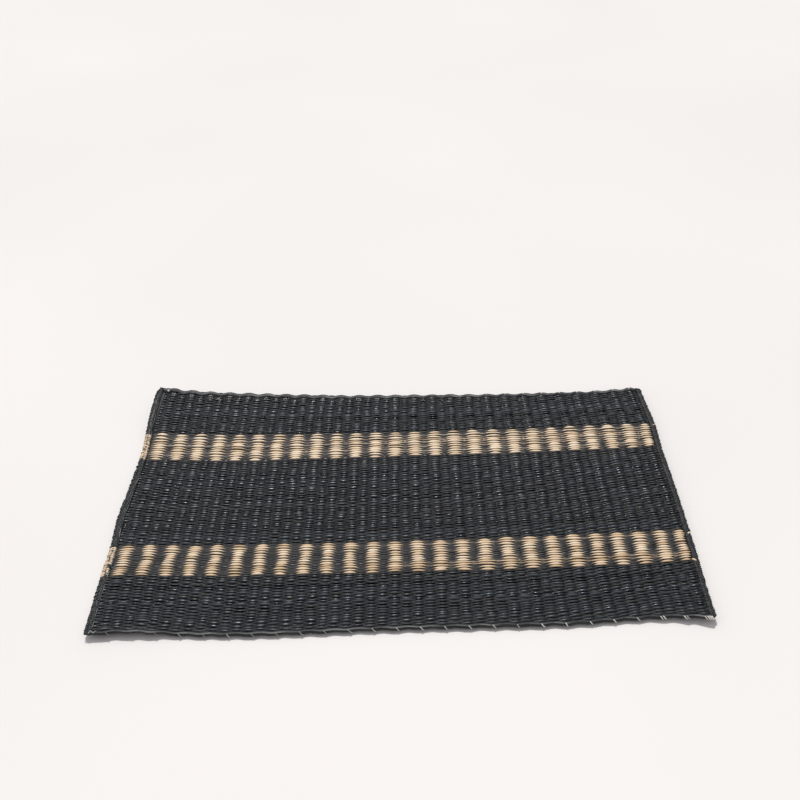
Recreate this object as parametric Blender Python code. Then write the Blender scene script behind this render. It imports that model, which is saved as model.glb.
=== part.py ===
"""A ribbed place mat of woven reed, lying on a table with its sides and corners a little lifted.

The mat is one woven panel, so it is one solid. Flat places on the mat are given as across, from the
middle to the right along the reeds, and along, from the front edge to the back along the warp strings.
The tables hold millimetres and the mesh is in metres, with +Z up. The origin lies on the table, under
the middle of the outline's box.
"""

import bpy
import numpy as np

MM = 0.001

# Driving sizes, in millimetres
WIDTH = 450.0
DEPTH = 286.0
THICKNESS = 3.0
VALLEY_THICKNESS = 1.8
EDGE_THICKNESS = 1.4
SELVEDGE_THICKNESS = 3.2
BUNDLE_THICKNESS = 3.2

# Warp strings: every second one carries a natural block where it crosses a stripe. The table gives the
# place of some of those strings, and the others lie evenly between them.
BLOCKS = 26
BLOCK_PLACES = (
    # block, across
    (0, -211.4),
    (20, 135.2),
    (24, 202.0),
    (25, 216.8),
)
CREST_HALF_WIDTH = 2.0
NATURAL_CREST_HALF_WIDTH = 3.0
BLACK_CREST_HALF_WIDTH = 1.2
VALLEY_SHIFT = 1.0

# The turned reed ends at each side form a rim. Its parts are given by their distance from the side.
RIM_CREST = (1.6, 3.4)
RIM_VALLEY = 6.0

# Rows of the mesh, from front to back. In a stripe row the natural ribs are wide and the black narrow.
ROWS = (
    # along, in a stripe
    (0.0, False),
    (1.6, False),
    (20.0, False),
    (40.0, False),
    (56.0, False),
    (58.0, True),
    (90.0, True),
    (92.0, False),
    (126.0, False),
    (160.0, False),
    (194.0, False),
    (196.0, True),
    (229.0, True),
    (231.0, False),
    (249.0, False),
    (267.0, False),
    (284.4, False),
    (286.0, False),
)

# Where each woven row runs on the table: the place from front to back of seven points along it.
ROW_COLUMNS = (-225.0, -200.0, -110.0, 0.0, 110.0, 185.0, 225.0)
ROW_LINES = (
    # along, left, near left, mid left, middle, mid right, near right, right
    (0.0, -145.6, -143.6, -146.6, -144.1, -143.7, -139.7, -144.0),
    (57.0, -86.0, -84.3, -86.3, -86.2, -85.8, -84.0, -84.1),
    (91.0, -53.0, -51.5, -52.6, -53.0, -51.1, -49.2, -50.2),
    (195.0, 54.5, 53.6, 51.4, 52.0, 53.0, 54.8, 54.3),
    (230.0, 88.8, 89.8, 87.7, 87.2, 87.6, 89.5, 87.0),
    (286.0, 147.7, 145.9, 146.7, 143.5, 140.8, 141.0, 139.7),
)

# Where the two side edges run on the table, from front to back.
LEFT_SIDE = (
    # along, place
    (0.0, -223.2),
    (20.0, -224.4),
    (60.0, -225.0),
    (85.0, -224.6),
    (121.0, -226.6),
    (160.0, -225.0),
    (203.0, -223.8),
    (249.0, -225.2),
    (272.0, -224.0),
    (286.0, -220.6),
)
RIGHT_SIDE = (
    # along, place
    (0.0, 222.8),
    (35.0, 223.8),
    (69.0, 224.8),
    (143.0, 225.6),
    (184.0, 225.3),
    (229.0, 226.5),
    (253.0, 225.2),
    (286.0, 222.8),
)
SIDE_REACH = 50.0

# Lifts: how far each side, edge or corner stands off the table, and how far in the lift begins. A side
# of 1 is the right and -1 the left. An edge of 1 is the back and -1 the front. 0 means all along it.
LIFTS = (
    # side, edge, height, reach across, reach along, sharpness
    (-1, 0, 2.5, 70.0, 0.0, 2.0),
    (1, 0, 3.0, 60.0, 0.0, 2.0),
    (0, -1, 1.2, 0.0, 24.0, 2.0),
    (0, 1, 1.0, 0.0, 24.0, 2.0),
    (-1, 1, 12.5, 175.0, 80.0, 1.5),
    (1, 1, 2.0, 55.0, 45.0, 1.5),
    (-1, -1, 0.8, 40.0, 30.0, 1.5),
    (1, -1, 1.0, 55.0, 35.0, 1.5),
)
HUMP_ACROSS = -186.0
HUMP_HEIGHT = 2.0
HUMP_HALF_WIDTH = 36.0
HUMP_REACH = 30.0

# Each corner is rounded to its own radius.
CORNER_RADII = (
    # side, edge, radius
    (-1, -1, 2.5),
    (1, -1, 3.0),
    (-1, 1, 1.5),
    (1, 1, 8.0),
)

# The front and back edges wave in and out, reaching furthest at the natural blocks' strings.
FRONT_WAVE = 1.0
BACK_WAVE = 1.4

BLACK_REED = (0.012, 0.016, 0.020, 1.0)
NATURAL_REED = (0.62, 0.43, 0.22, 1.0)
REED_ROUGHNESS = 0.45


def smooth(stations, values, at):
    """Values at the given places, on cubic pieces that pass through a table and never overshoot it.

    The slope at an inner station is the harmonic mean of its neighbours' slopes, or nothing where the
    table turns there.
    """
    stations = np.asarray(stations, float)
    values = np.asarray(values, float)
    gaps = np.diff(stations)
    rises = np.diff(values, axis=0) / gaps.reshape(-1, *[1] * (values.ndim - 1))
    before, after = rises[:-1], rises[1:]
    same_way = before * after > 0
    total = np.where(same_way, before + after, 1.0)
    inner = np.where(same_way, 2 * before * after / total, 0.0)
    slopes = np.concatenate([rises[:1], inner, rises[-1:]])
    piece = np.clip(np.searchsorted(stations, at) - 1, 0, len(gaps) - 1)
    gap = gaps[piece]
    q = (at - stations[piece]) / gap
    if values.ndim > 1:
        gap, q = gap[:, None], q[:, None]
    return (
        values[piece] * (1 + 2 * q) * (1 - q) ** 2
        + values[piece + 1] * q**2 * (3 - 2 * q)
        + slopes[piece] * gap * q * (1 - q) ** 2
        - slopes[piece + 1] * gap * q**2 * (1 - q)
    )


def fade(distance, reach):
    """One at the edge, falling to nothing at the reach."""
    return np.clip(1 - distance / reach, 0, 1)


def lift(across, along):
    """Height of the mat's underside over the table: the sum of what each side and corner adds."""
    height = np.zeros_like(across)
    for side, edge, most, reach_across, reach_along, sharpness in LIFTS:
        share = np.ones_like(across)
        if side:
            share = share * fade(WIDTH / 2 - side * across, reach_across) ** sharpness
        if edge:
            from_edge = DEPTH - along if edge > 0 else along
            share = share * fade(from_edge, reach_along) ** sharpness
        height = height + most * share
    hump = np.cos(np.clip((across - HUMP_ACROSS) / HUMP_HALF_WIDTH, -1, 1) * np.pi / 2) ** 2
    return height + HUMP_HEIGHT * hump * fade(along, HUMP_REACH) ** 2


def round_corners(across, along):
    """Moves the flat places in each corner's square onto a quarter disc."""
    for side, edge, radius in CORNER_RADII:
        p = (side * across - (WIDTH / 2 - radius)) / radius
        q = (edge * (along - DEPTH / 2) - (DEPTH / 2 - radius)) / radius
        inside = (p > 0) & (q > 0)
        p_round = p * np.sqrt(np.clip(1 - q**2 / 2, 0, 1))
        q_round = q * np.sqrt(np.clip(1 - p**2 / 2, 0, 1))
        across = np.where(inside, side * (WIDTH / 2 - radius + radius * p_round), across)
        along = np.where(
            inside, DEPTH / 2 + edge * (DEPTH / 2 - radius + radius * q_round), along
        )
    return across, along


def outline_middle():
    """The middle of the outline's box, from the tables' outermost places."""
    lines = np.array(ROW_LINES)[:, 1:]
    left = min(place for _, place in LEFT_SIDE)
    right = max(place for _, place in RIGHT_SIDE)
    return (left + right) / 2, (lines.min() + lines.max()) / 2


def on_table(across, along):
    """Places on the table, in the part's frame, of a grid of flat places (rows by columns)."""
    across, along = round_corners(across, along)
    lines = np.array(ROW_LINES)
    columns = smooth(ROW_COLUMNS, lines[:, 1:].T, across.ravel())
    front_to_back = np.array(
        [smooth(lines[:, 0], line, np.array([t]))[0] for line, t in zip(columns, along.ravel())]
    ).reshape(across.shape)
    left = smooth(*np.array(LEFT_SIDE).T, along.ravel()).reshape(across.shape) + WIDTH / 2
    right = smooth(*np.array(RIGHT_SIDE).T, along.ravel()).reshape(across.shape) - WIDTH / 2
    left_to_right = (
        across
        + left * fade(WIDTH / 2 + across, SIDE_REACH) ** 2
        + right * fade(WIDTH / 2 - across, SIDE_REACH) ** 2
    )
    middle = outline_middle()
    return left_to_right - middle[0], front_to_back - middle[1]


def rib_columns():
    """The mesh's columns: across in plain rows, across in stripe rows, thickness, natural or not."""
    side = WIDTH / 2
    block, place = np.array(BLOCK_PLACES).T
    natural = np.interp(np.arange(BLOCKS), block, place)
    black = (natural[:-1] + natural[1:]) / 2
    strings = np.sort(np.concatenate([natural, black]))
    valleys = (strings[:-1] + strings[1:]) / 2
    columns = [(-side, -side, EDGE_THICKNESS, False)]
    columns += [(-side + d, -side + d, SELVEDGE_THICKNESS, False) for d in RIM_CREST]
    columns += [(-side + RIM_VALLEY, -side + RIM_VALLEY, VALLEY_THICKNESS, True)]
    for i, string in enumerate(strings):
        is_natural = i % 2 == 0
        wide = NATURAL_CREST_HALF_WIDTH if is_natural else BLACK_CREST_HALF_WIDTH
        for way in (-1, 1):
            plain = string + way * CREST_HALF_WIDTH
            stripe = string + way * wide
            columns.append((plain, stripe, THICKNESS, is_natural and way < 0))
        if i < len(valleys):
            moved = valleys[i] + (VALLEY_SHIFT if is_natural else -VALLEY_SHIFT)
            columns.append((valleys[i], moved, VALLEY_THICKNESS, not is_natural))
    columns[-1] = (*columns[-1][:3], True)
    columns += [(side - RIM_VALLEY + 1.0, side - RIM_VALLEY + 1.0, VALLEY_THICKNESS, False)]
    columns += [(side - d, side - d, SELVEDGE_THICKNESS, False) for d in reversed(RIM_CREST)]
    columns += [(side, side, EDGE_THICKNESS, False)]
    return columns


def edge_wave(across):
    """Nothing at a natural block's string and one halfway to the next."""
    block, place = np.array(BLOCK_PLACES).T
    phase = np.interp(across, place, block)
    return (1 - np.cos(2 * np.pi * phase)) / 2


def surfaces():
    """The mat's top and underside as grids of points, in metres."""
    columns = rib_columns()
    plain = np.array([c[0] for c in columns])
    stripe = np.array([c[1] for c in columns])
    across = np.array([stripe if in_stripe else plain for _, in_stripe in ROWS])
    along = np.repeat([[t] for t, _ in ROWS], len(columns), axis=1)
    thickness = np.repeat([[c[2] for c in columns]], len(ROWS), axis=0)
    thickness[[0, -1]] = EDGE_THICKNESS
    thickness[[1, -2]] = np.minimum(
        np.maximum(thickness[[1, -2]], EDGE_THICKNESS + 1.0), BUNDLE_THICKNESS
    )
    thickness[[1, -2], 0] = EDGE_THICKNESS
    thickness[[1, -2], -1] = EDGE_THICKNESS
    along[:2] += FRONT_WAVE * edge_wave(across[:2])
    along[-2:] -= BACK_WAVE * edge_wave(across[-2:])
    x, y = on_table(across, along)
    middle = lift(across, along) + THICKNESS / 2
    top = np.stack([x, y, middle + thickness / 2], axis=-1)
    underside = np.stack([x, y, middle - thickness / 2], axis=-1)
    return top * MM, underside * MM


def grid_faces(rows, columns, first, facing_up):
    """Four-sided faces between neighbouring points of a grid."""
    faces = []
    for r in range(rows - 1):
        for c in range(columns - 1):
            a = first + r * columns + c
            face = (a, a + 1, a + 1 + columns, a + columns)
            faces.append(face if facing_up else face[::-1])
    return faces


def rim_faces(rows, columns, second):
    """Faces that join the two grids all round their border."""
    border = list(range(columns))
    border += [r * columns + columns - 1 for r in range(1, rows)]
    border += [(rows - 1) * columns + c for c in range(columns - 2, -1, -1)]
    border += [r * columns for r in range(rows - 2, 0, -1)]
    following = border[1:] + border[:1]
    return [(second + a, second + b, b, a) for a, b in zip(border, following)]


def reed_material(name, colour):
    """A dry split reed: a satin surface with no metal in it."""
    material = bpy.data.materials.new(name)
    material.use_nodes = True
    shader = material.node_tree.nodes["Principled BSDF"]
    shader.inputs["Base Color"].default_value = colour
    shader.inputs["Roughness"].default_value = REED_ROUGHNESS
    shader.inputs["Metallic"].default_value = 0.0
    return material


def woven_panel():
    """The whole mat: its two ribbed faces and the rim between them."""
    top, underside = surfaces()
    rows, columns = top.shape[:2]
    count = rows * columns
    faces = grid_faces(rows, columns, 0, True)
    faces += grid_faces(rows, columns, count, False)
    faces += rim_faces(rows, columns, count)
    mesh = bpy.data.meshes.new("woven_panel")
    points = np.concatenate([top.reshape(-1, 3), underside.reshape(-1, 3)])
    mesh.from_pydata(points.tolist(), [], faces)
    mesh.materials.append(reed_material("black_reed", BLACK_REED))
    mesh.materials.append(reed_material("natural_reed", NATURAL_REED))
    natural = np.array([c[3] for c in rib_columns()])[:-1]
    in_stripe = np.array([s for _, s in ROWS])
    between = in_stripe[:-1] & in_stripe[1:]
    pattern = np.tile((between[:, None] & natural[None, :]).ravel(), 2)
    slots = np.zeros(len(faces), np.int32)
    slots[: len(pattern)] = pattern
    mesh.polygons.foreach_set("material_index", slots)
    mesh.update()
    panel = bpy.data.objects.new("woven_panel", mesh)
    bpy.context.scene.collection.objects.link(panel)
    return panel


for old in list(bpy.data.objects):
    bpy.data.objects.remove(old, do_unlink=True)
woven_panel()
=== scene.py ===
# %% [markdown]
# # A ribbed place mat of split sedge
#
# The real mat is woven by hand from two things. Cotton strings run from front to back, about nine
# millimetres apart. Split sedge reeds run from side to side, over one string and under the next, and are
# beaten so close together that no string shows. Each reed therefore shows as a row of short arches, which
# weavers call floats, and the floats over one string stack up into a rib. Most reeds are dyed black. In
# the two stripes every second reed is left natural, so every second rib there is straw-coloured.
#
# A flat sheet with a picture of a weave on it would look right from far away only. Here every reed is its
# own strand that really goes over and under, so the ribs, the scalloped edges and the dark gaps come by
# themselves, from any side.

import bpy
import numpy as np
from mathutils import Matrix, Vector


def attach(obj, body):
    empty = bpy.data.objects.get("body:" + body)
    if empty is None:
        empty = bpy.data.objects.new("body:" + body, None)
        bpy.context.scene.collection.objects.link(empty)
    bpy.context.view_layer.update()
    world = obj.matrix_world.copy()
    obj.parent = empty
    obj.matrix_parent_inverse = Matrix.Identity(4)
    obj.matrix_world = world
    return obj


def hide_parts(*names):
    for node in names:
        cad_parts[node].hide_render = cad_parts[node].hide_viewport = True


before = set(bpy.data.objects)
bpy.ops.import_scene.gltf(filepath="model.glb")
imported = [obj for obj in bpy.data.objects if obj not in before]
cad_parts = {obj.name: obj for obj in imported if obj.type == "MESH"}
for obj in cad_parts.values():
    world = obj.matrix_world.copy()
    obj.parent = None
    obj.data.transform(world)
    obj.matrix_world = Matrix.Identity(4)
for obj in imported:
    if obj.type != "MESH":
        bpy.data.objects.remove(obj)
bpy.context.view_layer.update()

# %% [markdown]
# ## The lie of the mat
#
# A weaver measures the mat flat, so every place on it is given as across (to the right along the reeds)
# and along (from the front edge to the back), in millimetres. A table then says where those places really
# lie on the table top: the front and back edges bow a little, the sides wander, and the sides and corners
# stand off the table, most of all the back left one. These are the sizes of the solid, so that every
# strand stays inside it.

# %% Sizes of the flat mat, and where its places lie
MM = 0.001
WIDTH = 450.0
DEPTH = 286.0
MIDDLE_HEIGHT = 1.5
ROW_COLUMNS = (-225.0, -200.0, -110.0, 0.0, 110.0, 185.0, 225.0)
ROW_LINES = (
    # along, left, near left, mid left, middle, mid right, near right, right
    (0.0, -145.6, -143.6, -146.6, -144.1, -143.7, -139.7, -144.0),
    (57.0, -86.0, -84.3, -86.3, -86.2, -85.8, -84.0, -84.1),
    (91.0, -53.0, -51.5, -52.6, -53.0, -51.1, -49.2, -50.2),
    (195.0, 54.5, 53.6, 51.4, 52.0, 53.0, 54.8, 54.3),
    (230.0, 88.8, 89.8, 87.7, 87.2, 87.6, 89.5, 87.0),
    (286.0, 147.7, 145.9, 146.7, 143.5, 140.8, 141.0, 139.7),
)
LEFT_SIDE = (
    # along, place
    (0.0, -223.2),
    (20.0, -224.4),
    (60.0, -225.0),
    (85.0, -224.6),
    (121.0, -226.6),
    (160.0, -225.0),
    (203.0, -223.8),
    (249.0, -225.2),
    (272.0, -224.0),
    (286.0, -220.6),
)
RIGHT_SIDE = (
    # along, place
    (0.0, 222.8),
    (35.0, 223.8),
    (69.0, 224.8),
    (143.0, 225.6),
    (184.0, 225.3),
    (229.0, 226.5),
    (253.0, 225.2),
    (286.0, 222.8),
)
SIDE_REACH = 50.0
LIFTS = (
    # side, edge, height, reach across, reach along, sharpness
    (-1, 0, 2.5, 70.0, 0.0, 2.0),
    (1, 0, 3.0, 60.0, 0.0, 2.0),
    (0, -1, 1.2, 0.0, 24.0, 2.0),
    (0, 1, 1.0, 0.0, 24.0, 2.0),
    (-1, 1, 12.5, 175.0, 80.0, 1.5),
    (1, 1, 2.0, 55.0, 45.0, 1.5),
    (-1, -1, 0.8, 40.0, 30.0, 1.5),
    (1, -1, 1.0, 55.0, 35.0, 1.5),
)
HUMP_ACROSS, HUMP_HEIGHT, HUMP_HALF_WIDTH, HUMP_REACH = -186.0, 2.0, 36.0, 30.0
CORNER_RADII = (
    # side, edge, radius
    (-1, -1, 2.5),
    (1, -1, 3.0),
    (-1, 1, 1.5),
    (1, 1, 8.0),
)
print("flat mat:", WIDTH, "x", DEPTH, "mm")


# %% From flat places to the table
def smooth(stations, values, at):
    """Cubic pieces through a table, never past its values.

    The slope at an inner station is the harmonic mean of its neighbours' slopes, or nothing where the
    table turns. values may have a column for each place.
    """
    stations, values = np.asarray(stations, float), np.asarray(values, float)
    gaps = np.diff(stations)
    rises = np.diff(values, axis=0) / gaps.reshape(-1, *[1] * (values.ndim - 1))
    before, after = rises[:-1], rises[1:]
    same_way = before * after > 0
    inner = np.where(same_way, 2 * before * after / np.where(same_way, before + after, 1.0), 0.0)
    slopes = np.concatenate([rises[:1], inner, rises[-1:]])
    piece = np.clip(np.searchsorted(stations, at) - 1, 0, len(gaps) - 1)
    own = (piece,) if values.ndim == 1 else (piece, np.arange(len(at)))
    nxt = (piece + 1, *own[1:])
    gap = gaps[piece]
    q = (at - stations[piece]) / gap
    return (
        values[own] * (1 + 2 * q) * (1 - q) ** 2
        + values[nxt] * q**2 * (3 - 2 * q)
        + slopes[own] * gap * q * (1 - q) ** 2
        - slopes[nxt] * gap * q**2 * (1 - q)
    )


def fade(distance, reach):
    """One at the edge, falling in a straight line to nothing at the reach."""
    return np.clip(1 - distance / reach, 0, 1)


def lift(across, along):
    """Height of the underside over the table: the sum of what each side, edge and corner adds."""
    height = np.zeros_like(across)
    for side, edge, most, reach_across, reach_along, sharpness in LIFTS:
        share = np.ones_like(across)
        if side:
            share = share * fade(WIDTH / 2 - side * across, reach_across) ** sharpness
        if edge:
            share = share * fade(DEPTH - along if edge > 0 else along, reach_along) ** sharpness
        height = height + most * share
    hump = np.cos(np.clip((across - HUMP_ACROSS) / HUMP_HALF_WIDTH, -1, 1) * np.pi / 2) ** 2
    return height + HUMP_HEIGHT * hump * fade(along, HUMP_REACH) ** 2


def round_corners(across, along):
    """Each corner's square of flat places is mapped onto a quarter disc of its radius."""
    for side, edge, radius in CORNER_RADII:
        p = (side * across - (WIDTH / 2 - radius)) / radius
        q = (edge * (along - DEPTH / 2) - (DEPTH / 2 - radius)) / radius
        inside = (p > 0) & (q > 0)
        p_round = p * np.sqrt(np.clip(1 - q**2 / 2, 0, 1))
        q_round = q * np.sqrt(np.clip(1 - p**2 / 2, 0, 1))
        across = np.where(inside, side * (WIDTH / 2 - radius + radius * p_round), across)
        along = np.where(
            inside, DEPTH / 2 + edge * (DEPTH / 2 - radius + radius * q_round), along
        )
    return across, along


def on_table(places):
    """Points in metres for flat places (across, along, height over the mat's middle layer).

    The place from front to back is read from the row lines, first across and then along them. The
    sides' wander is added near each side, and the lift is added to the height.
    """
    flat = places.reshape(-1, 3)
    across, along = round_corners(flat[:, 0], flat[:, 1])
    lines = np.array(ROW_LINES)
    at_columns = [smooth(ROW_COLUMNS, line[1:], across) for line in lines]
    front_to_back = smooth(lines[:, 0], np.array(at_columns), along)
    left = smooth(*np.array(LEFT_SIDE).T, along) + WIDTH / 2
    right = smooth(*np.array(RIGHT_SIDE).T, along) - WIDTH / 2
    left_to_right = (
        across
        + left * fade(WIDTH / 2 + across, SIDE_REACH) ** 2
        + right * fade(WIDTH / 2 - across, SIDE_REACH) ** 2
    )
    middle_x = (min(p for _, p in LEFT_SIDE) + max(p for _, p in RIGHT_SIDE)) / 2
    middle_y = (lines[:, 1:].min() + lines[:, 1:].max()) / 2
    z = flat[:, 2] + MIDDLE_HEIGHT + lift(flat[:, 0], flat[:, 1])
    points = np.stack([left_to_right - middle_x, front_to_back - middle_y, z], axis=-1)
    return points.reshape(places.shape) * MM


corner_places = np.array([[x * WIDTH / 2, y, 0.0] for x in (-1, 1) for y in (0.0, DEPTH)])
print("corners, mm:", np.round(on_table(corner_places) / MM, 1).tolist())

# %% [markdown]
# ## Strings and rows
#
# Everything in a weave hangs on where its strings lie. Strings are numbered from the left by a phase: it
# is a whole number on a string and a half between two, so the over-and-under of a reed is simply a cosine
# of the phase. Even strings carry the natural ribs of the stripes and odd ones the black ribs. The strings
# lean a little to one side here and there, as hand weaving does, and a small table gives that lean.

# %% Strings
NATURAL_STRINGS = 26
STRING_PLACES = (
    # natural string, across
    (0, -211.4),
    (20, 135.2),
    (24, 202.0),
    (25, 216.8),
)
STRING_SPACING = 8.66
STRING_LEAN_COLUMNS = (-225.0, -110.0, 0.0, 110.0, 200.0, 225.0)
STRING_LEANS = (
    # along, lean at each of the columns
    (0.0, 0.0, 0.0, 0.0, 0.0, 0.0, 0.0),
    (62.0, -0.9, 0.2, 0.4, 0.1, -0.3, -0.3),
    (86.0, -0.1, 0.9, 0.4, 0.2, 0.3, 0.0),
    (203.0, 1.0, 1.2, 0.5, 0.2, -0.3, -1.0),
    (222.0, 1.2, 1.3, 0.5, 0.0, 0.0, -0.8),
    (286.0, 3.6, 3.3, 1.0, -1.6, -3.0, -2.0),
)


def string_tables():
    """Phases and places of all strings, with one more spacing on to each selvedge."""
    number, place = np.array(STRING_PLACES).T
    phase = np.arange(2 * NATURAL_STRINGS - 1, dtype=float)
    across = np.interp(phase / 2, number, place)
    phase = np.concatenate([[-1.0], phase, [phase[-1] + 1]])
    across = np.concatenate([[across[0] - STRING_SPACING], across, [across[-1] + 5.4]])
    return phase, across


STRING_PHASES, STRING_ACROSS = string_tables()


def string_lean(across, along):
    """How far the strings lean to the right of straight, read from the table both ways."""
    leans = np.array(STRING_LEANS)
    at_columns = [smooth(STRING_LEAN_COLUMNS, row[1:], across.ravel()) for row in leans]
    return smooth(leans[:, 0], np.array(at_columns), along.ravel()).reshape(across.shape)


def uneven(across, along, seed, reach_across, reach_along):
    """A smooth seeded unevenness of about one: six sine waves of different slants, summed."""
    draw = np.random.default_rng(seed)
    total = np.zeros(np.broadcast(across, along).shape)
    for _ in range(6):
        rate = draw.uniform(0.5, 1.5, 2) * draw.choice([-1, 1], 2)
        turns = across * rate[0] / reach_across + along * rate[1] / reach_along
        total = total + np.sin(2 * np.pi * turns + draw.uniform(0, 2 * np.pi))
    return total / np.sqrt(3.0)


print("strings:", len(STRING_PHASES) - 2, "from", STRING_ACROSS[1], "to", STRING_ACROSS[-2])

# %% [markdown]
# A row is a pair of reeds: one that passes over the even strings and one that passes over the odd ones.
# In the black fields both are dyed. In a stripe the first is natural, and it is the softer and wider one,
# so its floats are longer than the space between two strings. How long they are changes from row to row,
# and the same reed keeps its width right across the mat, which is why the stripes' blocks have matching
# steps. The rows of the stripes are therefore listed one by one.

# %% Rows of reeds
FIELDS = (
    # name, first along, last along, rows
    ("front", 3.4, 56.8, 19),
    ("middle_front", 90.7, 143.0, 18),
    ("middle_back", 143.0, 195.2, 18),
    ("back", 229.9, 283.0, 19),
)
FRONT_STRIPE_ROWS = (
    # along, float length on the left half, on the right half
    (58.1, 8.4, 9.6),
    (60.7, 9.2, 11.0),
    (63.3, 9.8, 13.0),
    (65.9, 8.8, 13.4),
    (68.6, 9.2, 10.4),
    (71.2, 9.3, 10.8),
    (73.8, 8.5, 9.8),
    (76.4, 8.3, 10.0),
    (79.0, 8.6, 10.3),
    (81.6, 9.3, 10.5),
    (84.2, 10.6, 11.2),
    (86.8, 10.8, 12.8),
    (89.4, 9.0, 10.0),
)
BACK_STRIPE_ROWS = (
    # along, float length on the left half, on the right half
    (196.6, 9.0, 10.0),
    (199.4, 10.8, 12.2),
    (202.3, 12.2, 12.6),
    (205.3, 12.4, 11.0),
    (208.7, 11.8, 13.6),
    (211.8, 11.4, 12.6),
    (214.6, 12.2, 14.0),
    (217.6, 11.6, 15.8),
    (220.9, 12.0, 12.2),
    (224.5, 11.0, 12.6),
    (228.0, 9.2, 8.6),
)
STRIPES = {"front_stripe": FRONT_STRIPE_ROWS, "back_stripe": BACK_STRIPE_ROWS}
STRIPE_SPANS = {"front_stripe": (56.8, 90.7), "back_stripe": (195.2, 229.9)}


def field_rows(first, last, count, seed):
    """Rows of uneven height that fill a field: along, height, float length left and right."""
    draw = np.random.default_rng(seed)
    heights = 1 + 0.16 * draw.standard_normal(count).clip(-1.8, 1.8)
    heights *= (last - first) / heights.sum()
    middles = first + np.cumsum(heights) - heights / 2
    left = STRING_SPACING * (1 + 0.10 * draw.standard_normal(count).clip(-2, 2))
    right = STRING_SPACING * (1 + 0.10 * draw.standard_normal(count).clip(-2, 2))
    return np.stack([middles, heights, left, right], axis=-1)


def stripe_rows(rows, span):
    """The listed rows, with each row's height reaching halfway to its neighbours."""
    rows = np.array(rows)
    middles = rows[:, 0]
    limits = np.concatenate([[span[0]], (middles[:-1] + middles[1:]) / 2, [span[1]]])
    return np.stack([(limits[:-1] + limits[1:]) / 2, np.diff(limits), rows[:, 1], rows[:, 2]], -1)


ROWS = {
    name: field_rows(first, last, count, seed)
    for seed, (name, first, last, count) in enumerate(FIELDS, start=11)
}
ROWS.update({name: stripe_rows(rows, STRIPE_SPANS[name]) for name, rows in STRIPES.items()})
print("rows:", {name: len(rows) for name, rows in ROWS.items()})

# %% [markdown]
# ## One strand
#
# Every strand on the mat, reed or string, is a thin tube carried along a path. Its cross-section is an
# ellipse, wide and thin for a split reed and round for a string. Working on whole arrays means that
# hundreds of reeds are made at once: the first index is the reed, the second the place along it, the third
# the corner of its cross-section.


# %% Tubes and meshes
def section_angles(corners):
    """Angles of a cross-section's corners from the tube's width, half a step off it."""
    return 2 * np.pi * (np.arange(corners) + 0.5) / corners


def unit(vectors):
    """Vectors of length one."""
    return vectors / np.linalg.norm(vectors, axis=-1, keepdims=True)


def tubes(path, side, half_width, half_thickness, corners, lean=0.0, swell=1.0):
    """Flat places of tubes: path + half width x cos x side + half thickness x sin x up.

    path is (strands, stations, 3) and side the direction of the tube's width. Up is the path's own
    direction crossed with side. lean tips the section: it adds its share of the width to the height.
    swell multiplies the section's size and may differ from corner to corner.
    """
    forward = unit(np.gradient(path, axis=1))
    side = np.broadcast_to(side, path.shape)
    up = unit(np.cross(forward, side))
    angle = section_angles(corners)
    wide = np.asarray(half_width)[..., None] * np.cos(angle) * swell
    tall = np.asarray(half_thickness)[..., None] * np.sin(angle) * swell
    tall = tall + wide * np.asarray(lean)[..., None]
    return (
        path[:, :, None]
        + side[:, :, None] * wide[..., None]
        + up[:, :, None] * tall[..., None]
    )


def tube_faces(strands, stations, corners):
    """Four-cornered faces round each tube, and one flat face at each of its ends."""
    first = (np.arange(strands) * stations * corners)[:, None, None]
    ring = (np.arange(stations - 1) * corners)[None, :, None]
    here = np.arange(corners)[None, None, :]
    there = (here + 1) % corners
    a, b = first + ring + here, first + ring + there
    quads = np.stack([a, b, b + corners, a + corners], axis=-1).reshape(-1, 4)
    start = first[:, 0] + np.arange(corners)[::-1]
    end = first[:, 0] + (stations - 1) * corners + np.arange(corners)
    return quads, np.concatenate([start, end])


def piece(name, points, quads, caps, material, **attributes):
    """A mesh object at the origin, with smooth faces and a value of each attribute at each point."""
    corners = np.concatenate([quads.ravel(), caps.ravel()]).astype(np.int32)
    sizes = np.concatenate([np.full(len(quads), 4), np.full(len(caps), caps.shape[1])])
    starts = np.concatenate([[0], np.cumsum(sizes)[:-1]]).astype(np.int32)
    mesh = bpy.data.meshes.new(name)
    mesh.vertices.add(len(points))
    mesh.vertices.foreach_set("co", points.astype(np.float32).ravel())
    mesh.loops.add(len(corners))
    mesh.loops.foreach_set("vertex_index", corners)
    mesh.polygons.add(len(starts))
    mesh.polygons.foreach_set("loop_start", starts)
    mesh.polygons.foreach_set("use_smooth", np.ones(len(starts), bool))
    for label, values in attributes.items():
        layer = mesh.attributes.new(label, "FLOAT", "POINT")
        layer.data.foreach_set("value", np.asarray(values, np.float32).ravel())
    mesh.update(calc_edges=True)
    mesh.validate()
    mesh.materials.append(material)
    made = bpy.data.objects.new(name, mesh)
    bpy.context.scene.collection.objects.link(made)
    triangles = 2 * len(quads) + len(caps) * (caps.shape[1] - 2)
    print(f"{name}: {triangles} triangles")
    return made


def strand_piece(name, flat, material, **attributes):
    """A piece from tubes of flat places, (strands, stations, corners, 3).

    Its attribute rim is one at the two edges of a strand's width and nothing on its ridge. Its
    attribute out is how far a point lies from the mat's middle layer, up or down, in millimetres.
    """
    quads, caps = tube_faces(*flat.shape[:3])
    rim = np.abs(np.cos(section_angles(flat.shape[2])))
    rim = np.broadcast_to(rim, flat.shape[:3])
    out = np.abs(flat[..., 2])
    spread = {
        label: np.broadcast_to(np.asarray(v)[..., None], flat.shape[:3])
        for label, v in attributes.items()
    }
    return piece(name, on_table(flat).reshape(-1, 3), quads, caps, material, rim=rim, out=out, **spread)


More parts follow.
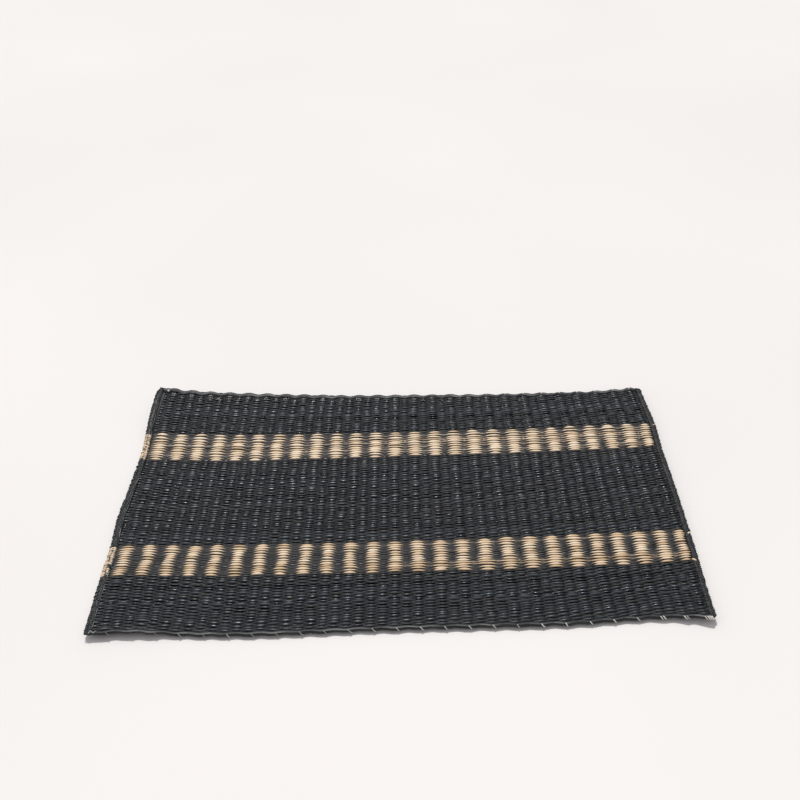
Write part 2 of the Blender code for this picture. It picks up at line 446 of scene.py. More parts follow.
# %% [markdown]
# ## Materials
#
# Split sedge is a dried stem cut lengthwise. Its outer skin keeps a little wax, so it has a satin gloss,
# with fine ridges along the stem. Black dye soaks into it unevenly and leaves some reeds bluer and some
# greyer. Natural sedge dries to straw and cream. On both, painted shade darkens the colour where a float
# dips between its neighbours and along a reed's cut edges, which are also a little browner of their own.
# The colours are written as they look on a screen, and one function turns them into the linear values
# that the shader needs.


# %% Helpers for materials
def colour(code):
    """Linear colour of an sRGB hex code."""
    value = np.array([int(code[i : i + 2], 16) / 255 for i in (1, 3, 5)])
    linear = np.where(value <= 0.04045, value / 12.92, ((value + 0.055) / 1.055) ** 2.4)
    return (*linear.tolist(), 1.0)


def node(tree, kind, links=(), **settings):
    """Adds a node, sets its properties or, by number or name, its inputs, and links inputs to outputs."""
    made = tree.nodes.new(kind)
    for key, value in settings.items():
        if key == "inputs":
            for socket, default in value.items():
                made.inputs[socket].default_value = default
        else:
            setattr(made, key, value)
    for socket, source in links:
        tree.links.new(source, made.inputs[socket])
    return made


def new_material(name, **values):
    """An empty material with a Principled shader whose constant values are set on its own sockets."""
    material = bpy.data.materials.new(name)
    material.use_nodes = True
    shader = material.node_tree.nodes["Principled BSDF"]
    for socket, value in values.items():
        shader.inputs[socket.replace("_", " ")].default_value = value
    return material, material.node_tree, shader


def ramp(tree, factor, stops):
    """A colour ramp with a hex colour at each stop."""
    made = node(tree, "ShaderNodeValToRGB", [("Fac", factor)])
    elements = made.color_ramp.elements
    while len(elements) < len(stops):
        elements.new(0.5)
    for element, (position, code) in zip(elements, stops):
        element.position = position
        element.color = colour(code)
    return made.outputs["Color"]


# %% [markdown]
# The fine ridges of a sedge stem are a fifth of a millimetre apart and run along the reed. A noise texture
# that is stretched forty times along the reeds draws them. It darkens the colour a little and feeds a
# small bump, so that the gloss breaks up along the reed as on the real one.

# %% The two reeds
STEM_RIDGE = 0.22 * MM
STEM_RUN = 9.0 * MM


def stem_grain(tree):
    """Noise in Object coordinates: one step each stem ridge, one each stem run along the reed."""
    place = node(tree, "ShaderNodeTexCoord").outputs["Object"]
    stretched = node(
        tree,
        "ShaderNodeMapping",
        [("Vector", place)],
        inputs={"Scale": (1 / STEM_RUN, 1 / STEM_RIDGE, 1 / STEM_RIDGE)},
    )
    grain = node(
        tree,
        "ShaderNodeTexNoise",
        [("Vector", stretched.outputs[0])],
        inputs={"Scale": 1.0, "Detail": 2.0},
    )
    return grain.outputs["Fac"]


def reed_material(name, stops, shade, roughness, bump, **values):
    """A split reed: its tone picks the colour, and its edges and dips go towards a darker one.

    shade is the colour of the painted shade, its share in the dips between floats and its share along
    the cut edges, where the cut's own brown is in it too.
    roughness is the pair for the dullest and the glossiest reed.
    """
    material, tree, shader = new_material(name, **values)
    tone, out, rim, gloss = (
        node(tree, "ShaderNodeAttribute", attribute_name=label).outputs["Fac"]
        for label in ("tone", "out", "rim", "gloss")
    )
    grain = stem_grain(tree)
    toned = node(
        tree,
        "ShaderNodeMapRange",
        [("Value", grain)],
        inputs={"From Min": 0.2, "From Max": 0.8, "To Min": -0.16, "To Max": 0.16},
    )
    toned = node(tree, "ShaderNodeMath", [(0, toned.outputs[0]), (1, tone)], operation="ADD")
    skin = ramp(tree, toned.outputs[0], stops)
    # Painted shade: the colour goes towards the shade colour where a float dips towards the middle layer.
    dip_shade = node(
        tree,
        "ShaderNodeMapRange",
        [("Value", out)],
        inputs={"From Min": 0.25, "From Max": 0.80, "To Min": shade[1], "To Max": 0.0},
    )
    # Painted shade along a reed's two cut edges, partly the cut's own brown, added to the dip's share.
    edge = node(tree, "ShaderNodeMath", [(0, rim)], operation="POWER", inputs={1: 3.0})
    edge = node(
        tree,
        "ShaderNodeMath",
        [(0, edge.outputs[0]), (2, dip_shade.outputs[0])],
        operation="MULTIPLY_ADD",
        inputs={1: shade[2]},
        use_clamp=True,
    )
    mixed = node(tree, "ShaderNodeMix", [("Factor", edge.outputs[0])], data_type="RGBA")
    tree.links.new(skin, mixed.inputs["A"])
    mixed.inputs["B"].default_value = colour(shade[0])
    tree.links.new(mixed.outputs["Result"], shader.inputs["Base Color"])
    rough = node(
        tree,
        "ShaderNodeMapRange",
        [("Value", gloss)],
        inputs={"From Min": 0.0, "From Max": 1.0, "To Min": roughness[0], "To Max": roughness[1]},
    )
    tree.links.new(rough.outputs[0], shader.inputs["Roughness"])
    ridges = node(
        tree,
        "ShaderNodeBump",
        [("Height", grain)],
        inputs={"Strength": bump, "Distance": 0.05 * MM},
    )
    tree.links.new(ridges.outputs[0], shader.inputs["Normal"])
    return material


dyed_sedge = reed_material(
    "dyed_sedge_reed",
    stops=((0.0, "#04070b"), (0.4, "#090f15"), (0.75, "#101922"), (1.0, "#1e2a34")),
    shade=("#020305", 0.8, 0.4),
    roughness=(0.56, 0.24),
    bump=0.35,
    IOR=1.5,
)
natural_sedge = reed_material(
    "natural_sedge_reed",
    stops=(
        (0.0, "#b0936f"),
        (0.25, "#d6ba94"),
        (0.5, "#e8cfaf"),
        (0.75, "#f0dcbe"),
        (1.0, "#f8ecd9"),
    ),
    shade=("#2e1f13", 0.92, 0.45),
    roughness=(0.6, 0.4),
    bump=0.4,
    IOR=1.5,
)
print("materials:", dyed_sedge.name, natural_sedge.name)

# %% [markdown]
# The strings are undyed twisted cotton, soft and matt. They are a good half millimetre thick, so their
# twist is far finer than the picture shows and a small noise stands for it. Near the dyed reeds they have
# taken some of the colour, which the tone of each string gives.

# %% String
STRING_TWIST = 0.5 * MM


def string_material(name, stops):
    """Twisted cotton: the tone picks the colour, a noise at the twist's size roughens it."""
    material, tree, shader = new_material(name, Roughness=0.85, Specular_IOR_Level=0.3)
    tone = node(tree, "ShaderNodeAttribute", attribute_name="tone").outputs["Fac"]
    place = node(tree, "ShaderNodeTexCoord").outputs["Object"]
    twist = node(
        tree,
        "ShaderNodeTexNoise",
        [("Vector", place)],
        inputs={"Scale": 1 / STRING_TWIST, "Detail": 1.0},
    ).outputs["Fac"]
    toned = node(
        tree,
        "ShaderNodeMath",
        [(0, twist), (2, tone)],
        operation="MULTIPLY_ADD",
        inputs={1: 0.3},
    )
    shown = ramp(tree, toned.outputs[0], stops)
    tree.links.new(shown, shader.inputs["Base Color"])
    fibres = node(
        tree,
        "ShaderNodeBump",
        [("Height", twist)],
        inputs={"Strength": 0.6, "Distance": 0.1 * MM},
    )
    tree.links.new(fibres.outputs[0], shader.inputs["Normal"])
    return material


cotton_string = string_material(
    "cotton_string",
    stops=((0.0, "#20262a"), (0.35, "#59605f"), (0.7, "#a9aaa2"), (1.0, "#e4e2d8")),
)
print("material:", cotton_string.name)

# %% [markdown]
# ## Weaving the rows
#
# The height of a reed is a flattened cosine of the phase. A reed that passes over the even strings has
# its crest on even phases, and shifting the cosine up makes those floats longer and the ones between them
# shorter. Two things keep the reeds from running through each other: at a crest a reed is as wide as its
# whole row, and where it crosses from top to bottom it is squeezed to half of that, beside the reed that
# comes up there. Small seeded changes to every float keep the rows from looking stamped.

# %% Weave
REEDS = {
    # kind: stations to a string, corners, rise, sink, half thickness, width at crest and crossing,
    # tone, gloss
    "field": (5, 6, 0.68, 0.0, 0.64, 0.98, 0.50, 0.50, 0.50),
    "natural": (7, 8, 0.72, 0.0, 0.66, 0.94, 0.26, 0.52, 0.50),
    # The gap reeds' low tone is painted shade, for their place sunk between the natural floats.
    "gap": (5, 6, 0.40, 0.28, 0.50, 0.95, 0.50, 0.15, 0.12),
}
ODD_RIBS_SINK = 0.14
ODD_RIBS_DULL = 0.35
CREST_FLATNESS = 1.0
REED_ENDS = (-1.05, 51.0)
ENDS_ACROSS = (-222.5, 223.0)
END_REACH = 5.0
HALF_CHANGE = 50.0
FLOATS = 54


def arch(level):
    """Flattened cosine: level over the root of level squared plus a square, one at a level of one."""
    return level * np.sqrt(1 + CREST_FLATNESS**2) / np.sqrt(level**2 + CREST_FLATNESS**2)


def weave(rows, over_even, kind, seed):
    """Flat places and attributes of one reed in each row, over the even or over the odd strings.

    The height is the flattened cosine of the phase. The width is that of a lens: widest at a crest,
    and falling with the bare cosine to a share of itself where the reed crosses the middle.
    """
    draw = np.random.default_rng(seed)
    (per_string, corners, rise, sink, thickness, at_crest, at_crossing, mean_tone, mean_gloss) = REEDS[
        kind
    ]
    count = int((REED_ENDS[1] - REED_ENDS[0]) * per_string) + 1
    phase = np.linspace(*REED_ENDS, count)[None, :]
    middle, height, left, right = (column[:, None] for column in rows.T)
    across = np.interp(phase, STRING_PHASES, STRING_ACROSS) + 0 * middle
    along = middle + (0.0 if over_even else 0.5) * height + 0 * phase
    ease = np.clip(across / HALF_CHANGE / 2 + 0.5, 0, 1)
    rightness = ease * ease * (3 - 2 * ease)
    length = left + (right - left) * rightness
    length = length * (1 + 0.05 * uneven(across, along, seed + 1, 40.0, 3.0))
    shift = -np.cos(np.pi * np.clip(length / (2 * STRING_SPACING), 0.2, 0.94))
    way = 1.0 if over_even else -1.0
    bare = way * (np.cos(np.pi * phase) + shift)
    level = arch(bare)
    lens = np.clip(np.abs(bare) / (1 + np.sign(bare) * way * shift), 0, 1) ** 0.8
    # one draw for each float, shared by the stations nearest to its string
    nearest = np.clip(np.rint(phase[0] + 1).astype(int), 0, FLOATS - 1)
    float_draw = draw.standard_normal((len(rows), FLOATS, 4)).clip(-1.6, 1.6)[:, nearest]
    ends = np.clip((across - ENDS_ACROSS[0]) / END_REACH, 0, 1)
    ends = ends * np.clip((ENDS_ACROSS[1] - across) / END_REACH, 0, 1)
    across = across + string_lean(across, along) + 0.25 * uneven(across, along, 5, 60.0, 34.0)
    along = along + 0.30 * uneven(across, along, 6, 55.0, 16.0) + 0.10 * float_draw[..., 3]
    rise = rise * (1 + 0.08 * float_draw[..., 0]) * (0.3 + 0.7 * ends)
    odd_ribs = rightness if kind == "field" and not over_even else 0.0
    height_over = rise * level - sink - ODD_RIBS_SINK * odd_ribs
    path = np.stack([across, along, height_over], axis=-1)
    squeeze = at_crossing + (at_crest - at_crossing) * lens
    half_width = height / 2 * squeeze * (1 + 0.06 * float_draw[..., 1]) * (0.5 + 0.5 * ends)
    half_thickness = thickness * (0.8 + 0.2 * lens) * (0.6 + 0.4 * ends) + 0 * height
    reed_tone = draw.normal(mean_tone, 0.16, (len(rows), 1))
    tone = reed_tone + 0.10 * float_draw[..., 2] + 0.06 * uneven(across, along, seed + 2, 12.0, 4.0)
    gloss = draw.normal(mean_gloss, 0.24, (len(rows), 1)) + 0.16 * float_draw[..., 3]
    gloss = gloss - ODD_RIBS_DULL * odd_ribs
    tips = 0.16 * draw.standard_normal((len(rows), 1)) + 0.09 * float_draw[..., 2]
    flat = tubes(path, (0.0, 1.0, 0.0), half_width, half_thickness, corners, tips)
    return flat, {"tone": tone.clip(0, 1), "gloss": gloss.clip(0, 1)}


def woven_reeds(name, rows, kinds, material, seed):
    """One piece with the reeds of some rows: over the even strings, over the odd ones, or both."""
    parts = [weave(rows, over_even, kind, seed + 7 * i) for i, (over_even, kind) in enumerate(kinds)]
    flat = np.concatenate([part[0] for part in parts])
    attributes = {
        key: np.concatenate([part[1][key] for part in parts]) for key in ("tone", "gloss")
    }
    return strand_piece(name, flat, material, **attributes)


# %% The four black fields
both_dyed = ((True, "field"), (False, "field"))
dyed_pieces = [
    woven_reeds(f"dyed_reeds_{name}", ROWS[name], both_dyed, dyed_sedge, 100 * i)
    for i, (name, *_) in enumerate(FIELDS, start=1)
]

# %% The two stripes
natural_pieces = []
for i, name in enumerate(STRIPES, start=6):
    natural_pieces.append(
        woven_reeds(f"natural_reeds_{name}", ROWS[name], ((True, "natural"),), natural_sedge, 100 * i)
    )
    dyed_pieces.append(
        woven_reeds(f"dyed_reeds_{name}", ROWS[name], ((False, "gap"),), dyed_sedge, 100 * i + 50)
    )

# %% [markdown]
# ## The middle layer
#
# Between the reeds on top and the reeds below lies the layer of strings. It takes the dyed reed colour
# with the full painted shade of the dips, and it shows only in the gaps between the reeds.
# In the real mat it closes the small gaps, so that no table shows through them. It is made as one thin
# closed sheet.

# %% Middle layer
LAYER_INSET = 3.0
LAYER_HALF_THICKNESS = 0.15
LAYER_STEPS = (90, 57)


def middle_layer(material):
    """Two grids of flat places, a little above and below the middle, joined round their border."""
    across = np.linspace(-WIDTH / 2 + LAYER_INSET, WIDTH / 2 - LAYER_INSET, LAYER_STEPS[0])
    along = np.linspace(LAYER_INSET, DEPTH - LAYER_INSET, LAYER_STEPS[1])
    a, b = np.meshgrid(across, along)
    height = np.full_like(a, LAYER_HALF_THICKNESS)
    top, underside = np.stack([a, b, height], -1), np.stack([a, b, -height], -1)
    index = np.arange(a.size).reshape(a.shape)
    quads = np.stack([index[:-1, :-1], index[:-1, 1:], index[1:, 1:], index[1:, :-1]], -1).reshape(-1, 4)
    rim = np.concatenate([index[0, :-1], index[:-1, -1], index[-1, :0:-1], index[:0:-1, 0]])
    after = np.roll(rim, -1)
    walls = np.stack([rim + a.size, after + a.size, after, rim], -1)
    faces = np.concatenate([quads, quads[:, ::-1] + a.size, walls])
    points = on_table(np.concatenate([top.reshape(-1, 3), underside.reshape(-1, 3)]))
    half = np.full(len(points), 0.2)
    return piece("string_layer", points, faces, np.zeros((0, 4), int), material, tone=half, gloss=half - 0.2)


# Its dyed colour, darkened to the full painted shade, stands for the shade in the gaps between the reeds.
string_layer = middle_layer(dyed_sedge)

# %% [markdown]
# ## Edges
#
# At the front and the back the last reeds are gathered into a bundle and bound by the strings, which are
# brought round it. Between two natural strings the bundle is drawn in, so the back edge shows a row of
# wide scallops. The reeds in the bundle lie side by side with a slow twist. A tube whose section has
# seven shallow lobes, turning slowly along it, gives that.

# %% Front and back edge
EDGES = (
    # name, along, wave inwards, half width, half thickness, pinch at each string, turns of the twist
    ("front", 2.0, 0.9, 1.85, 1.42, 0.05, 9.0),
    ("back", 283.5, -1.9, 2.30, 1.46, 0.07, -7.0),
)
BUNDLE_REEDS = 7
BUNDLE_LOBE = 0.05
BUNDLE_CORNERS = 28
BUNDLE_ENDS = (-1.45, 51.12)


def edge_wave(phase):
    """Nothing at a natural string and one halfway to the next: half of one minus a cosine."""
    return (1 - np.cos(np.pi * phase)) / 2


def edge_across(phase, along):
    """Across of a phase at an edge, carried on past the outermost strings, with the strings' lean."""
    across = np.interp(phase, STRING_PHASES, STRING_ACROSS)
    past = (phase - STRING_PHASES[0]).clip(None, 0) + (phase - STRING_PHASES[-1]).clip(0)
    across = across + past * STRING_SPACING
    return across + string_lean(across, along + 0 * across)


def edge_bundle(name, along, wave, wide, thick, pinch, turns, seed):
    """A lobed tube along an edge: radius x (1 + lobe x cos(reeds x (angle - turn)))."""
    phase = np.linspace(*BUNDLE_ENDS, 640)[None, :]
    line = along + wave * edge_wave(phase)
    across = edge_across(phase, along)
    path = np.stack([across, line, 0 * across], -1)
    share = (phase - BUNDLE_ENDS[0]) / (BUNDLE_ENDS[1] - BUNDLE_ENDS[0])
    pinched = 1 - pinch * np.cos(np.pi * phase) ** 8
    pinched = pinched * (1 - 0.55 * np.clip(np.abs(share - 0.5) * 160 - 79.0, 0, 1) ** 2)
    half_width = wide * pinched * (1 + 0.05 * uneven(across, line, seed, 30.0, 900.0))
    half_thickness = thick * pinched
    angle = section_angles(BUNDLE_CORNERS)
    turn = 2 * np.pi * turns * share + 0.5 * uneven(across, line, seed + 1, 40.0, 900.0)
    swell = 1 + BUNDLE_LOBE * np.cos(BUNDLE_REEDS * angle - turn[..., None])
    flat = tubes(path, (0.0, 1.0, 0.0), half_width, half_thickness, BUNDLE_CORNERS, 0.0, swell)
    tone = 0.30 + 0.10 * uneven(across, line, seed + 2, 18.0, 900.0)
    made = strand_piece(
        f"edge_bundle_{name}",
        flat,
        dyed_sedge,
        tone=tone.clip(0, 1),
        gloss=0.30 + 0 * tone,
    )
    return made


edge_pieces = [edge_bundle(*edge, seed) for seed, edge in enumerate(EDGES, start=70)]

# %% [markdown]
# At each side the reeds turn back round the last string. The turned ends lie aslant, outer ones one way
# and inner ones the other, and together they look like a plait. They are short lens-shaped floats, made
# from a few dozen faces each because there are hundreds of them. On the left the natural reeds of the
# stripes turn there too, so the plait is straw-coloured beside them.

# %% Selvedges
PLAITS = (
    # name, side, outer and inner column's distance, slant, float length, natural share, tone, gloss
    ("left", -1, 1.5, 3.8, 1.15, 3.6, 0.84, 0.45, 0.5),
    ("right", 1, 1.45, 3.5, 1.35, 3.3, 0.04, 0.25, 0.3),
)
PLAIT_PITCH = 1.95
PLAIT_STATIONS = 7
PLAIT_HALF_WIDTH = 0.82
PLAIT_HALF_THICKNESS = 0.72


def plait_column(side, distance, slant, length, over, seed):
    """Lens floats along one side: each is an arch over the column's line, pointed at both ends."""
    draw = np.random.default_rng(seed)
    middles = np.arange(2.6, DEPTH - 3.0, PLAIT_PITCH)[:, None]
    middles = middles + 0.22 * draw.standard_normal(middles.shape).clip(-2, 2)
    share = np.linspace(-1, 1, PLAIT_STATIONS)[None, :]
    size = 1 + 0.12 * draw.standard_normal(middles.shape).clip(-2, 2)
    across = side * (WIDTH / 2 - distance) + share * length / 2 * size
    along = middles + share * slant * size
    height = over * (0.72 * (1 - share**2) * size - 0.12)
    path = np.stack([across, along + 0 * across, height + 0 * across], -1)
    forward = unit(np.gradient(path, axis=1) * (1, 1, 0))
    across_side = np.stack([-forward[..., 1], forward[..., 0], 0 * share + 0 * middles], -1)
    taper = np.sqrt(np.clip(1 - share**2, 0.02, 1))
    flat = tubes(
        path,
        across_side,
        PLAIT_HALF_WIDTH * taper * size,
        PLAIT_HALF_THICKNESS * taper * size,
        6,
    )
    return flat, middles[:, 0], draw


def natural_rows(middles, share, draw):
    """Which turned ends are natural: those beside a stripe, but for a share of them."""
    beside = np.zeros(len(middles), bool)
    for first, last in STRIPE_SPANS.values():
        beside |= (middles > first + 0.5) & (middles < last - 0.5)
    return beside & (draw.random(len(middles)) < share)


def selvedge(name, side, outer, inner, slant, length, share, mean_tone, mean_gloss):
    """The plait of one side, top and underside, split into its dyed and its natural floats."""
    dyed, natural = [], []
    for column, (distance, way) in enumerate(((outer, 1), (inner, -1))):
        for over in (1, -1):
            seed = 300 + 10 * column + over + 40 * (side + 1)
            flat, middles, draw = plait_column(side, distance, way * slant, length, over, seed)
            is_natural = natural_rows(middles, share, draw)
            tone = draw.normal(mean_tone, 0.16, len(middles)).clip(0, 1)
            natural.append((flat[is_natural], tone[is_natural]))
            dyed.append((flat[~is_natural], tone[~is_natural]))
    made = []
    for kind, parts, material in (("dyed", dyed, dyed_sedge), ("natural", natural, natural_sedge)):
        flat = np.concatenate([part[0] for part in parts])
        tone = np.concatenate([part[1] for part in parts])[:, None] + np.zeros(PLAIT_STATIONS)
        gloss = mean_gloss + 0 * tone
        made.append(
            strand_piece(f"selvedge_{name}_{kind}", flat, material, tone=tone, gloss=gloss)
        )
    return made


selvedge_pieces = [made for plait in PLAITS for made in selvedge(*plait)]

# %% [markdown]
# Under the plait runs a core: the last string with the reeds that are wound on it. It fills the plait
# from inside and gives the side its firm, rounded edge.

# %% Cores of the selvedges
CORE_HALF_WIDTH = 2.2
CORE_HALF_THICKNESS = 0.95


def selvedge_core(side):
    """One wide flat tube along a side, from just inside the front edge to just inside the back."""
    along = np.linspace(2.0, DEPTH - 2.5, 160)[None, :]
    across = side * (WIDTH / 2 - 2.8) + 0.15 * uneven(0.0, along, 91 + side, 1.0, 12.0)
    path = np.stack([across, along, 0 * along], -1)
    half_width = CORE_HALF_WIDTH * (1 + 0.04 * uneven(0.0, along, 93 + side, 1.0, 5.0))
    return tubes(path, (-1.0, 0.0, 0.0), half_width, CORE_HALF_THICKNESS + 0 * along, 10)


core_places = np.concatenate([selvedge_core(side) for side in (-1, 1)])
core_tone = np.full(core_places.shape[:2], 0.25)
cores = strand_piece(
    "selvedge_cores", core_places, dyed_sedge, tone=core_tone, gloss=core_tone
)

# %% [markdown]
# ## Strings that show
#
# The strings are hidden in the weave and come out only at the edges. At the front each natural string is
# brought round the bundle and shows as a short pale slanted stroke, clearest towards the right. At the
# back the strings are drawn over the bundle, and on the right half a pale dot shows on each scallop. Some
# way inside the back edge the tucked-in string ends peep out between the reeds. One more thin string
# runs along inside the left selvedge.

# %% String ends
STRING_RADIUS = 0.36
FRONT, BACK = EDGES


def towards_right(across, first, last):
    """Nothing up to the first place, one past the last and a straight line between them."""
    return np.clip((across - first) / (last - first), 0, 1)


def string_piece(name, path, radius, tone, flatness=1.0):
    """Strings as tubes that lie mostly from front to back: radius wide, flatness x radius thick."""
    radius = radius + 0 * path[..., 0]
    flat = tubes(path, (1.0, 0.0, 0.0), radius, flatness * radius, 6)
    tone = (tone + 0 * radius).clip(0, 1)
    return strand_piece(name, flat, cotton_string, tone=tone)


def round_bundle(edge, phase, start, slant, turns):
    """Paths round an edge bundle: half width x cos and half thickness x sin of the turn.

    A turn of nothing is on the side towards the mat's middle and half a turn on the outer side. start
    and slant are where a string begins across and how far it drifts on its way.
    """
    _, along, wave, wide, thick, pinch, _ = edge
    outwards = -1.0 if along < DEPTH / 2 else 1.0
    turn = np.linspace(*turns, 13)[None, :] * np.pi
    share = np.linspace(0, 1, turn.shape[1])[None, :]
    line = along + wave * edge_wave(phase)[:, None]
    across = edge_across(phase, along)[:, None] + start[:, None] + slant[:, None] * share
    hold = 1 - 0.6 * pinch
    return np.stack(
        [
            across,
            line - outwards * (hold * wide + 0.12) * np.cos(turn) + 0 * across,
            (hold * thick + 0.06) * np.sin(turn) + 0 * across,
        ],
        -1,
    )


EVEN_PHASES = np.arange(0.0, 2 * NATURAL_STRINGS - 1, 2)
ODD_PHASES = np.arange(1.0, 2 * NATURAL_STRINGS - 2, 2)


def front_strokes():
    """One stroke at each natural string, a second on the last three, and three at the right corner."""
    draw = np.random.default_rng(401)
    place = edge_across(EVEN_PHASES, 0.0)
    extra = place > 175
    phase = np.concatenate([EVEN_PHASES, EVEN_PHASES[extra], EVEN_PHASES[-1:], EVEN_PHASES[-1:]])
    right = towards_right(np.concatenate([place, place[extra], place[-1:], place[-1:]]), -120.0, 120.0)
    start = 3.4 * (1 - right) - 0.8
    start[len(place) :] += 2.0
    start[-2:] += (1.6, 3.0)
    slant = 3.0 - 0.8 * right + 0.3 * draw.standard_normal(len(phase))
    path = round_bundle(FRONT, phase, start, slant, (0.62, 1.22))
    radius = STRING_RADIUS * (0.80 + 0.40 * right + 0.12 * draw.standard_normal(len(phase)))
    radius[-3:] *= 1.3
    tone = 0.45 + 0.50 * right + 0.12 * draw.standard_normal(len(phase))
    return string_piece("front_string_strokes", path, radius[:, None], tone[:, None])


def back_wraps():
    """Strings over the back bundle: dull on the left half, thick pale dots on the right one."""
    draw = np.random.default_rng(402)
    place = edge_across(EVEN_PHASES, DEPTH)
    right = towards_right(place, 60.0, 130.0)
    count = len(place)
    dots = round_bundle(BACK, EVEN_PHASES, 0 * place - 0.6, 1.2 + 0 * place, (0.42, 0.80))
    radius = STRING_RADIUS * (0.8 + 1.9 * right) * (1 + 0.15 * draw.standard_normal(count))
    radius[-1] *= 1.4
    tone = 0.30 + 0.70 * right + 0.08 * draw.standard_normal(count)
    taper = np.sqrt(np.sin(np.linspace(0.12, np.pi - 0.12, dots.shape[1])))
    return string_piece("back_string_dots", dots, radius[:, None] * taper, tone[:, None], 0.6)


def back_ties():
    """A thin dull string over the back bundle at each string, from its inner side to its top."""
    draw = np.random.default_rng(404)
    phase = np.concatenate([EVEN_PHASES, ODD_PHASES])
    slant = 0.4 * draw.standard_normal(len(phase))
    path = round_bundle(BACK, phase, 0 * slant, slant, (0.02, 0.62))
    tone = 0.22 + 0.07 * draw.standard_normal(len(phase))
    return string_piece("back_string_ties", path, 0.26 + 0 * tone[:, None], tone[:, None])


string_pieces = [front_strokes(), back_wraps(), back_ties()]

# %% Tucked-in string ends and the string along the left side
TUCKS = (
    # odd strings or even ones, across from the string, along, half length, slant, radius
    (0, -1.7, 278.3, 0.50, 0.5, 0.30),
    (0, -0.7, 277.0, 0.50, 0.4, 0.30),
    (0, 0.6, 276.8, 0.50, -0.4, 0.30),
    (0, 1.6, 278.1, 0.50, -0.5, 0.30),
    (1, -0.7, 275.0, 0.60, 0.9, 0.44),
    (1, 0.6, 274.8, 0.55, 0.9, 0.42),
    (1, 0.1, 276.4, 0.45, 0.2, 0.28),
)
TUCK_HEIGHT = 1.30
SPECKS = (
    # across, along, half length, slant, radius, tone
    (-214.0, 280.6, 0.55, 0.3, 0.75, 0.95),
    (-215.0, 274.0, 0.45, 0.3, 0.36, 0.75),
    (-218.4, 12.4, 0.7, 0.6, 0.26, 0.60),
    (-216.0, 14.6, 0.5, -0.5, 0.24, 0.55),
    (-213.2, 9.3, 0.6, 0.4, 0.22, 0.50),
    (-219.0, 8.1, 0.5, 0.5, 0.22, 0.45),
)


def stitches(name, start, line, half_length, slant, radius, tone, seed):
    """Short arched stitches: a straight run of twice the half length, humped and pointed at its ends."""
    draw = np.random.default_rng(seed)
    start, line, half_length, slant, radius, tone = (
        np.asarray(v, float)[:, None] for v in (start, line, half_length, slant, radius, tone)
    )
    share = np.linspace(-1, 1, 7)[None, :]
    size = 1 + 0.25 * draw.standard_normal(start.shape).clip(-2, 2)
    path = np.stack(
        [
            start + slant * share,
            line + half_length * share * size,
            TUCK_HEIGHT + 0.25 * (1 - share**2) + 0 * start,
        ],
        -1,
    )
    taper = np.sqrt(np.clip(1 - share**2, 0.1, 1))
    return string_piece(name, path, radius * taper * size, tone)


def tucked_ends():
    """The table's stitches at every string near the back edge, fainter towards the right."""
    draw = np.random.default_rng(403)
    rows = []
    for odd, across, along, half_length, slant, radius in TUCKS:
        place = STRING_ACROSS[1:-1][odd::2]
        place = place + string_lean(place, np.full_like(place, along))
        for at in place:
            seen = 1 - 0.75 * towards_right(at, -40.0, 120.0)
            rows.append(
                (
                    at + across + 0.45 * draw.standard_normal(),
                    along + 0.5 * draw.standard_normal(),
                    half_length,
                    slant + 0.3 * draw.standard_normal(),
                    radius * (0.6 + 0.4 * seen),
                    seen * draw.normal(0.72 if odd else 0.60, 0.22),
                )
            )
    rows = np.array(rows).T
    return stitches("tucked_string_ends", *rows, 405)


def side_string():
    """A thin string along the inside of the left selvedge, rising a little between the turned reeds."""
    along = np.linspace(5.0, 281.0, 420)[None, :]
    across = -219.9 + 0.2 * uneven(0.0, along, 95, 1.0, 20.0)
    height = 0.95 + 0.18 * np.cos(2 * np.pi * along / PLAIT_PITCH / 2)
    path = np.stack([across, along, height], -1)
    radius = 0.26 + 0 * along
    flat = tubes(path, (-1.0, 0.0, 0.0), radius, radius, 6)
    tone = 0.20 + 0.14 * uneven(0.0, along, 96, 1.0, 15.0)
    return strand_piece("left_side_string", flat, cotton_string, tone=tone.clip(0, 1))


def corner_string():
    """The zigzag of string that ties the front left corner, as one run through four places."""
    corners = np.array([(-221.0, 1.2), (-220.2, 4.2), (-217.6, 1.0), (-216.2, 3.2)])
    share = np.linspace(0, len(corners) - 1, 31)
    across = np.interp(share, range(len(corners)), corners[:, 0])
    along = np.interp(share, range(len(corners)), corners[:, 1])
    height = 1.52 - 0.10 * (along - 2.0) ** 2
    path = np.stack([across, along, height], -1)[None]
    return string_piece("corner_string", path, 0.28, 0.55)


string_pieces += [
    tucked_ends(),
    stitches("string_specks", *np.array(SPECKS).T, 406),
    side_string(),
    corner_string(),
]

# %% [markdown]
# ## What the pieces are
#
# Every piece rides on the one body. The middle layer stands for the solid, and the imported woven panel
# is hidden.

# %% Pieces on the body
for slot, made in (
    ("dyed_reed", [*dyed_pieces, *edge_pieces, cores, string_layer]),
    ("natural_reed", natural_pieces),
    ("string", string_pieces),
):
    for each in made:
        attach(each, "root")
for each in selvedge_pieces:
    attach(each, "root")
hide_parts("woven_panel")

# %% [markdown]
# ## Table, light and camera
#
# The mat lies on a plain pale table. The light is one soft lamp far away, high up behind it and a little
# to the left. It draws a short bright line on every float and lays a narrow grey shadow in front of the
# mat. A pale room all round, brighter on the left, fills the shadows. The camera stands in front and
# looks down at about 36 degrees.

# %% Table top
TABLE_HALF = 4.0


def table_material():
    """A smooth matt table top, pale and slightly warm, with a very faint unevenness."""
    material, tree, shader = new_material("matt_table_top", Roughness=0.7, Specular_IOR_Level=0.2)
    place = node(tree, "ShaderNodeTexCoord").outputs["Object"]
    cloud = node(tree, "ShaderNodeTexNoise", [("Vector", place)], inputs={"Scale": 2.0, "Detail": 1.0})
    tint = ramp(tree, cloud.outputs["Fac"], ((0.3, "#ebe8e5"), (0.7, "#efece9")))
    tree.links.new(tint, shader.inputs["Base Color"])
    return material


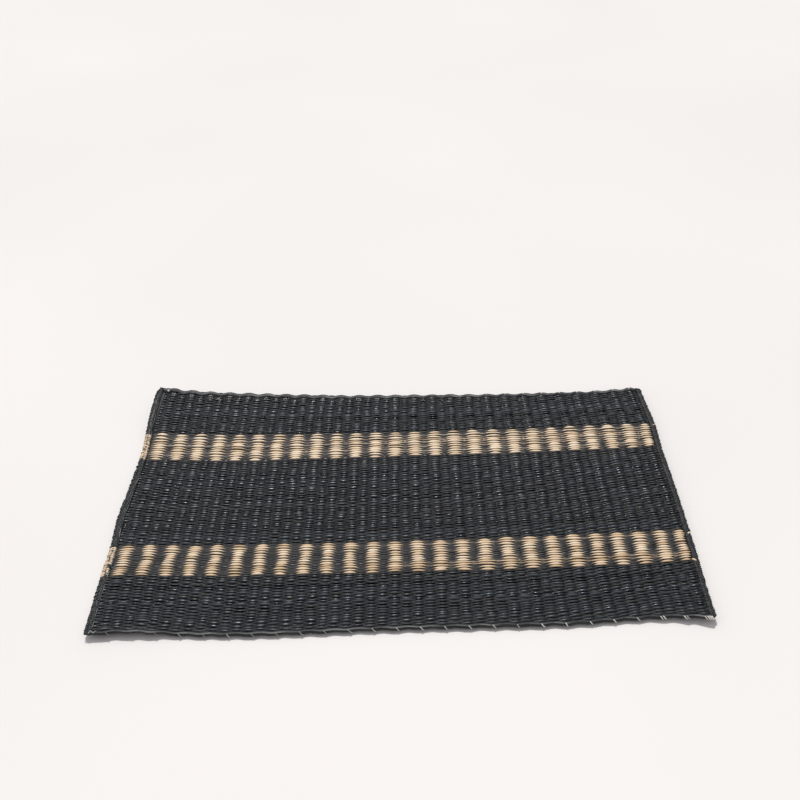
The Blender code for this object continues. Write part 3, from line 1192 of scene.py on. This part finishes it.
table_mesh = bpy.data.meshes.new("table_top")
table_corners = [(x * TABLE_HALF, y * TABLE_HALF, -0.0002) for x, y in ((-1, -1), (1, -1), (1, 1), (-1, 1))]
table_mesh.from_pydata(table_corners, [], [(0, 1, 2, 3)])
table_mesh.materials.append(table_material())
table_top = bpy.data.objects.new("table_top", table_mesh)
bpy.context.scene.collection.objects.link(table_top)

# %% Light
LAMP_FROM = Vector((-0.09, 0.40, 0.91))
LAMP_ANGLE = 8.0
LAMP_STRENGTH = 2.15
SKY_STRENGTH = 0.50
SKY_SIDES = (1.35, 0.65)

lamp_data = bpy.data.lights.new("far_lamp", "SUN")
lamp_data.angle = np.radians(LAMP_ANGLE)
lamp_data.energy = LAMP_STRENGTH
lamp_data.color = colour("#fffdfa")[:3]
lamp = bpy.data.objects.new("far_lamp", lamp_data)
lamp.rotation_euler = (-LAMP_FROM).to_track_quat("-Z", "Y").to_euler()
bpy.context.scene.collection.objects.link(lamp)


def room_light():
    """A pale room, brighter on the left than on the right: strength falls in a straight line with x."""
    sky = bpy.data.worlds.new("pale_room")
    sky.use_nodes = True
    tree = sky.node_tree
    background = tree.nodes["Background"]
    background.inputs["Color"].default_value = colour("#fbfaff")
    place = node(tree, "ShaderNodeTexCoord").outputs["Generated"]
    parts = node(tree, "ShaderNodeSeparateXYZ", [("Vector", place)])
    left, right = (side * SKY_STRENGTH for side in SKY_SIDES)
    strength = node(
        tree,
        "ShaderNodeMapRange",
        [("Value", parts.outputs["X"])],
        inputs={"From Min": -1.0, "From Max": 1.0, "To Min": left, "To Max": right},
    )
    tree.links.new(strength.outputs[0], background.inputs["Strength"])
    return sky


bpy.context.scene.world = room_light()
bpy.context.scene.view_settings.view_transform = "Standard"

# %% Camera
CAMERA_PLACE = Vector((0.0138474, -0.6414624, 0.5570564))
CAMERA_PITCH = 0.620370088
CAMERA_ROLL = -0.0356719838
CAMERA_YAW = -0.0157149648
CAMERA_LENS = 46.376

cp, sp = np.cos(CAMERA_PITCH), np.sin(CAMERA_PITCH)
cy, sy = np.cos(CAMERA_YAW), np.sin(CAMERA_YAW)
forward = Vector((sy * cp, cy * cp, -sp))
right = Vector((cy, -sy, 0.0))
up = right.cross(forward)
cr, sr = np.cos(CAMERA_ROLL), np.sin(CAMERA_ROLL)
camera_right = right * cr + up * sr
camera_up = up * cr - right * sr
camera_data = bpy.data.cameras.new("camera")
camera_data.lens = CAMERA_LENS
camera_data.sensor_width = 36.0
camera_data.clip_start = 0.01
camera = bpy.data.objects.new("camera", camera_data)
camera.matrix_world = (
    Matrix.Translation(CAMERA_PLACE)
    @ Matrix((camera_right, camera_up, -forward)).transposed().to_4x4()
)
bpy.context.scene.collection.objects.link(camera)
bpy.context.scene.camera = camera
